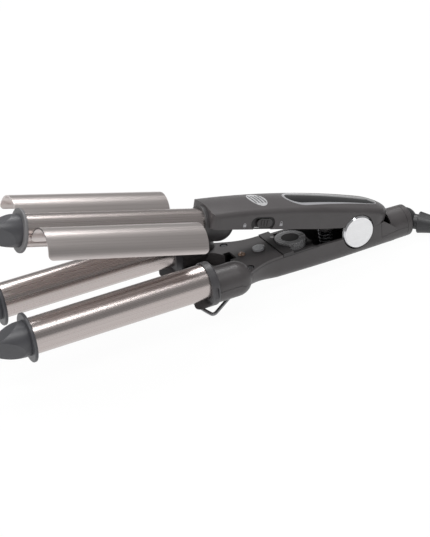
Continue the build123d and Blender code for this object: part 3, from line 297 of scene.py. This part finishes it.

# The jaw spring is pressed down when the jaws close, by an estimated amount; here it only gets a mesh of
# its own.
spring = frame["nodes"]["jaw_spring"]
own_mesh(spring)

# ---------------------------------------------------------------- second finishes and painted shade on a piece

# Places and reaches in mm, in the frame of the piece's jaw. A facing is a share of 1 along an axis.
BEVEL_FACING = 0.15, 0.97
SCREW_PLACE = Vector((-80.4, 18.5))
SCREW_REACH = 2.8
SCREW_RECESS_TOP = 1.1
LOCK_X, LOCK_RISE = -72.1, 8.2
LOCK_HALF_LENGTH, LOCK_HALF_WIDTH = 9.2, 4.4
LOCK_FLOOR = -15.9, -14.0
LOCK_FACING = -0.9


def paint(name, jaw, material, chosen):
    """Give the faces that a rule picks by place and direction in the jaw's frame a second material: a
    finish, or painted shade.
    """
    node = frame["nodes"][name]
    node.data.materials.append(material)
    index = len(node.data.materials) - 1
    to_jaw = jaw.inverted() @ node.matrix_world
    turn = to_jaw.to_3x3()
    for face in node.data.polygons:
        if chosen(to_jaw @ face.center / MM, turn @ face.normal):
            face.material_index = index


def on_cap_bevel(place, facing):
    """Between the flat end of a hinge cap and its rim."""
    return BEVEL_FACING[0] < abs(facing.y) < BEVEL_FACING[1]


def in_screw_recess(place, facing):
    """Below the deck, round one of the two cover screws, where near black is painted as shade."""
    across = Vector((place.x, abs(place.y))) - SCREW_PLACE
    return across.length < SCREW_REACH and place.z < SCREW_RECESS_TOP


def in_lock_recess(place, facing):
    """On the floor of the recess that the lock slider runs in, where near black is painted as shade."""
    return (
        LOCK_FLOOR[0] < place.y < LOCK_FLOOR[1]
        and facing.y < LOCK_FACING
        and abs(place.x - LOCK_X) < LOCK_HALF_LENGTH
        and abs(place.z - LOCK_RISE) < LOCK_HALF_WIDTH
    )


for cap in ("left_hinge_cap", "right_hinge_cap"):
    paint(cap, LOWER, chrome, on_cap_bevel)
# Painted shade: the screw recesses and the floor of the lock recess get the near black material.
paint("front_cover", LOWER, recess_painted_shade, in_screw_recess)
paint("upper_housing", UPPER, recess_painted_shade, in_lock_recess)

# ---------------------------------------------------------------- marks


def marks(name, shapes, across, up, depth, jaw, material, body):
    """Thin printed marks: each outline of (x, y) in mm stands up out of the plane of two directions."""
    data = bpy.data.meshes.new(name)
    sheet = bmesh.new()
    out = across.cross(up)
    for origin, outline in shapes:
        base = [sheet.verts.new((origin + across * x + up * y) * MM) for x, y in outline]
        tops = [sheet.verts.new((origin + across * x + up * y + out * depth) * MM) for x, y in outline]
        sheet.faces.new(tops)
        sheet.faces.new(base[::-1])
        for first in range(len(outline)):
            second = (first + 1) % len(outline)
            sheet.faces.new((base[first], base[second], tops[second], tops[first]))
    sheet.transform(jaw)
    bmesh.ops.recalc_face_normals(sheet, faces=sheet.faces)
    sheet.to_mesh(data)
    sheet.free()
    piece = added(name, data)
    data.materials.append(material)
    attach(piece, body)


def arc_band(radius, width, first, last, steps=14):
    """The outline of a flat arc between two angles in degrees."""
    angles = [math.radians(first + (last - first) * step / steps) for step in range(steps + 1)]
    outer = [(radius * math.cos(a), radius * math.sin(a)) for a in angles]
    inner = [((radius - width) * math.cos(a), (radius - width) * math.sin(a)) for a in reversed(angles)]
    return outer + inner


# A small padlock at each end of the lock slider's way: its body and its shackle, shut or raised.
side_face = -16.02
sign_sink = 0.1
sign_rise = 7.9
sign_depth = 0.16
body_top = 0.1
lock_body = [(-1.0, -1.6), (1.0, -1.6), (1.0, body_top), (-1.0, body_top)]
shackle = arc_band(radius=0.85, width=0.32, first=0, last=180)
shapes = []
for centre, lift in ((-85.0, 0.0), (-59.2, 0.5)):
    spot = Vector((centre, side_face + sign_sink, sign_rise))
    shapes.append((spot, lock_body))
    shapes.append((spot + Z * (body_top + lift), shackle))
marks("lock_signs", shapes, X, Z, sign_depth, UPPER, icon_grey, "upper_jaw")

# The mark beside the dial: one short line along a radius.
dial_centre = Vector((-41.9, 0.0, 1.9))
tick_angle = 136
tick_start, tick_end, tick_half = 10.9, 13.2, 0.35
tick_depth = 0.26
tick = [(tick_start, -tick_half), (tick_end, -tick_half), (tick_end, tick_half), (tick_start, tick_half)]
turned = [tuple(Matrix.Rotation(math.radians(tick_angle), 2) @ Vector(corner)) for corner in tick]
marks("dial_mark", [(dial_centre, turned)], X, Y, tick_depth, LOWER, white_mark, "lower_jaw")

# ---------------------------------------------------------------- cord


def curve(name, points, radius, material):
    """A round curve along control points in metres."""
    data = bpy.data.curves.new(name, "CURVE")
    data.dimensions = "3D"
    data.bevel_depth = radius
    data.bevel_resolution = 6
    data.resolution_u = 8
    data.use_fill_caps = True
    spline = data.splines.new("NURBS")
    spline.points.add(len(points) - 1)
    for control, point in zip(spline.points, points):
        control.co = (*point, 1)
    spline.order_u = 3
    spline.use_endpoint_u = True
    piece = added(name, data)
    data.materials.append(material)
    return piece


# In mm: the cord lies on the table, goes round in the coil and ends in the plug on top of it.
cord_radius = 3.5
table_gap = 0.2
low = cord_radius + table_gap
coil_x = 252.1
coil_y = -36.3
outer_turn = 45.5
relief_tip = (180.93, -32.82, 4.6)
route = [
    relief_tip,
    (185.8, -37.9, low),
    (199.2, -52.7, low),
    (214.5, -65.6, low),
]
# The turns go round from the entry: inwards on the table, up at the inside, out by one on top,
# down a layer, out by one, and up to the last one at the outside on top.
per_turn = 18
pitch = 2 * cord_radius
inner_turn = outer_turn - 2 * pitch
middle_turn = outer_turn - pitch
stations = [
    (low, outer_turn),
    (low, middle_turn),
    (low, inner_turn),
    (low + pitch, inner_turn),
    (low + 2 * pitch, inner_turn),
    (low + 2 * pitch, middle_turn),
    (low + pitch, middle_turn),
    (low + pitch, outer_turn),
    (low + 2 * pitch, outer_turn),
]
entry = 235.0
last_steps = 5
ease_steps = 5
for turn, (height, radius) in enumerate(stations):
    next_height, next_radius = stations[min(turn + 1, len(stations) - 1)]
    steps = per_turn if turn < len(stations) - 1 else last_steps
    for step in range(steps):
        angle = math.radians(entry + 360.0 * step / per_turn)
        ease = min(max((step - per_turn + ease_steps) / ease_steps, 0.0), 1.0)
        reach = radius + (next_radius - radius) * ease
        rise = height + (next_height - height) * ease
        route.append((coil_x + reach * math.cos(angle), coil_y + reach * math.sin(angle), rise))
# From the top turn up to the plug, which lies on the coil
leave = math.radians(-35.0)
plug_rise = 28.6
route += [
    (coil_x + outer_turn * math.cos(leave), coil_y + outer_turn * math.sin(leave), low + 2 * pitch),
    (297.0, -49.0, 17.9),
    (299.2, -35.5, 19.4),
    (295.6, -20.8, 22.6),
    (285.9, -9.4, 26.2),
    (272.6, -3.8, plug_rise),
    (263.0, -1.6, plug_rise),
]
route_m = [[value * MM for value in point] for point in route]
mains_cord = curve("mains_cord", route_m, cord_radius * MM, cable_rubber)
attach(mains_cord, "lower_jaw")
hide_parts("cord", "cord_coil", "plug_cord")

# ---------------------------------------------------------------- floor and light

FLOOR_HALF = 40.0
PAPER_TONE = 0.86
WHITE_SHARE = 0.97
WORLD_LIGHT = 0.30
AIM = Vector((0.0, 0.0, 0.05))

floor = added("floor", bpy.data.meshes.new("floor"))
sheet = bmesh.new()
bmesh.ops.create_grid(sheet, x_segments=2, y_segments=2, size=FLOOR_HALF)
sheet.to_mesh(floor.data)
sheet.free()

# The paper takes light and shadow as matt grey, and camera, glossy and transmission rays see it white.
paper = bpy.data.materials.new("paper")
paper.use_nodes = True
nodes = paper.node_tree.nodes
links = paper.node_tree.links
nodes.clear()
output = nodes.new("ShaderNodeOutputMaterial")
mix = nodes.new("ShaderNodeMixShader")
matt = nodes.new("ShaderNodeBsdfDiffuse")
matt.inputs["Color"].default_value = (PAPER_TONE, PAPER_TONE, PAPER_TONE, 1)
white = nodes.new("ShaderNodeEmission")
white.inputs["Color"].default_value = (1, 1, 1, 1)
white.inputs["Strength"].default_value = 1.0
path = nodes.new("ShaderNodeLightPath")
camera_or_glossy = nodes.new("ShaderNodeMath")
camera_or_glossy.operation = "ADD"
links.new(path.outputs["Is Camera Ray"], camera_or_glossy.inputs[0])
links.new(path.outputs["Is Glossy Ray"], camera_or_glossy.inputs[1])
seen = nodes.new("ShaderNodeMath")
seen.operation = "ADD"
links.new(camera_or_glossy.outputs[0], seen.inputs[0])
links.new(path.outputs["Is Transmission Ray"], seen.inputs[1])
share = nodes.new("ShaderNodeMath")
share.operation = "MULTIPLY"
share.use_clamp = True
share.inputs[1].default_value = WHITE_SHARE
links.new(seen.outputs[0], share.inputs[0])
links.new(share.outputs[0], mix.inputs["Fac"])
links.new(matt.outputs[0], mix.inputs[1])
links.new(white.outputs[0], mix.inputs[2])
links.new(mix.outputs[0], output.inputs["Surface"])
floor.data.materials.append(paper)

# The world is white to the camera and gives a dimmer light to the rest.
world = bpy.data.worlds.new("studio")
scene.world = world
world.use_nodes = True
backdrop = world.node_tree.nodes["Background"]
backdrop.inputs["Color"].default_value = (1, 1, 1, 1)
glow = world.node_tree.nodes.new("ShaderNodeMapRange")
glow.inputs["To Min"].default_value = WORLD_LIGHT
glow.inputs["To Max"].default_value = 1.0
sight = world.node_tree.nodes.new("ShaderNodeLightPath")
world.node_tree.links.new(sight.outputs["Is Camera Ray"], glow.inputs["Value"])
world.node_tree.links.new(glow.outputs["Result"], backdrop.inputs["Strength"])


def lamp(name, place, size, power):
    """A soft rectangular lamp aimed at the object."""
    light = bpy.data.lights.new(name, "AREA")
    light.shape = "RECTANGLE"
    light.size, light.size_y = size
    light.energy = power
    holder = added(name, light)
    holder.location = place
    holder.rotation_euler = (AIM - Vector(place)).to_track_quat("-Z", "Y").to_euler()


lamp("key", place=(-0.3, -0.5, 1.5), size=(1.6, 0.35), power=17.0)
lamp("top", place=(0.2, 0.7, 1.4), size=(1.2, 0.5), power=20.0)
lamp("side", place=(-1.6, -0.2, 0.6), size=(0.6, 0.8), power=4.0)

scene.view_settings.view_transform = "Standard"
